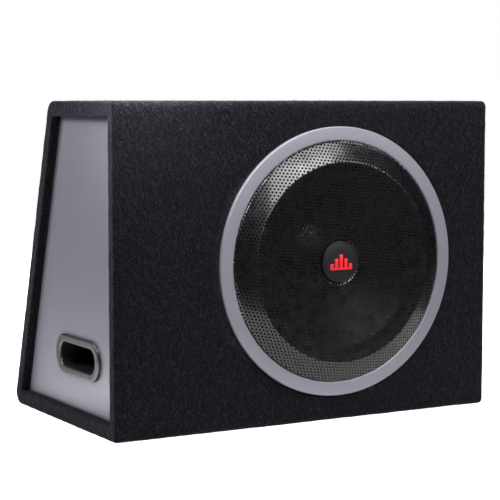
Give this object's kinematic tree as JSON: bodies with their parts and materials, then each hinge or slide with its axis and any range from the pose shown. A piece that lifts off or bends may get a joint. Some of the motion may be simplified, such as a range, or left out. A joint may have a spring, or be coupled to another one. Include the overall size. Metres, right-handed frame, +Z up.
{
  "type": "powered car subwoofer",
  "caption": "Wedge-shaped powered car subwoofer in charcoal carpet, with a grilled round driver, an oval reflex port and a plate amplifier with knobs and sockets in one end.",
  "frame": {"origin": "under the middle of the whole object, on the surface it stands on", "axes": "+X to the right along the width seen from the front, -Y out of the driver's front, +Z up"},
  "size_m": [0.504, 0.3094, 0.375],
  "materials": {
    "charcoal_carpet": "needled polypropylene carpet",
    "fibreboard": "medium density fibreboard",
    "silver_paint": "satin silver paint",
    "bezel_satin": "satin",
    "black_steel": "satin black powder coat",
    "black_plastic": "matt moulding",
    "cone_polypropylene": "smooth polypropylene",
    "surround_rubber": "butyl rubber",
    "foam_gasket": "closed cell foam",
    "spider_cloth": "treated cotton weave",
    "former_paper": "kraft paper",
    "copper_wire": "enamelled copper winding",
    "zinc_steel": "zinc plated",
    "ferrite": "sintered ferrite",
    "badge_plastic": "satin moulding",
    "red_inlay": "red enamel",
    "amplifier_powder_coat": "fine texture powder coat",
    "circuit_board": "glass fibre laminate with solder mask",
    "connector_white": "nylon",
    "fuse_amber": "clear tinted moulding",
    "led_lens": "diffused lens",
    "wire_insulation": "flexible insulation"
  },
  "bodies": {
    "enclosure": {"carpet_wrap": "charcoal_carpet", "carpet_base": "charcoal_carpet", "front_baffle": "fibreboard", "top_board": "fibreboard", "bottom_board": "fibreboard", "back_board": "fibreboard", "left_end_board": "fibreboard", "right_end_board": "fibreboard", "left_side_panel": "silver_paint", "right_side_panel": "silver_paint", "port_tube": "black_plastic", "port_bezel": "bezel_satin", "basket": "black_steel", "mounting_gasket": "foam_gasket", "surround": "surround_rubber", "spider": "spider_cloth", "top_plate": "zinc_steel", "magnet": "ferrite", "yoke": "zinc_steel", "magnet_boot": "surround_rubber", "driver_terminal": "black_plastic", "speaker_wire": "wire_insulation", "driver_screw_1": "zinc_steel", "driver_screw_2": "zinc_steel", "driver_screw_3": "zinc_steel", "driver_screw_4": "zinc_steel", "driver_screw_5": "zinc_steel", "driver_screw_6": "zinc_steel", "driver_screw_7": "zinc_steel", "driver_screw_8": "zinc_steel", "trim_ring": "silver_paint", "grille": "black_steel", "badge": "badge_plastic", "badge_emblem": "red_inlay", "amplifier_plate": "amplifier_powder_coat", "plate_screw_1": "black_steel", "plate_screw_2": "black_steel", "plate_screw_3": "black_steel", "plate_screw_4": "black_steel", "amplifier_chassis": "zinc_steel", "circuit_board": "circuit_board", "choke": "copper_wire", "level_potentiometer": "zinc_steel", "crossover_potentiometer": "zinc_steel", "bass_boost_potentiometer": "zinc_steel", "status_led": "led_lens", "line_input_sockets": "black_plastic", "speaker_level_socket": "connector_white", "fuse_holder": "black_plastic", "blade_fuse": "fuse_amber", "power_terminal_block": "black_plastic", "heat_sink": "amplifier_powder_coat"},
    "cone_assembly": {"cone": "cone_polypropylene", "dust_cap": "cone_polypropylene", "voice_coil_former": "former_paper", "voice_coil": "copper_wire"},
    "level_knob": {"level_knob": "black_plastic"},
    "crossover_knob": {"crossover_knob": "black_plastic"},
    "bass_boost_knob": {"bass_boost_knob": "black_plastic"},
    "phase_switch": {"phase_switch": "connector_white"}
  },
  "joints": [
    {"name": "cone_travel", "type": "slide", "parent": "enclosure", "child": "cone_assembly", "axis": [0, -1, 0], "range_m": [-0.008, 0.008], "stiffness_N_per_m": 4000, "deforming": ["surround", "spider"]},
    {"name": "level_knob_turn", "type": "hinge", "parent": "enclosure", "child": "level_knob", "pos_m": [0.2433, -0.07668, 0.264], "axis": [1, 0, 0], "range_deg": [-140, 140]},
    {"name": "crossover_knob_turn", "type": "hinge", "parent": "enclosure", "child": "crossover_knob", "pos_m": [0.2433, -0.03868, 0.264], "axis": [1, 0, 0], "range_deg": [-140, 140]},
    {"name": "bass_boost_knob_turn", "type": "hinge", "parent": "enclosure", "child": "bass_boost_knob", "pos_m": [0.2433, -0.00068, 0.264], "axis": [1, 0, 0], "range_deg": [-140, 140]},
    {"name": "phase_switch_slide", "type": "slide", "parent": "enclosure", "child": "phase_switch", "axis": [0, 1, 0], "range_m": [0, 0.004]}
  ]
}
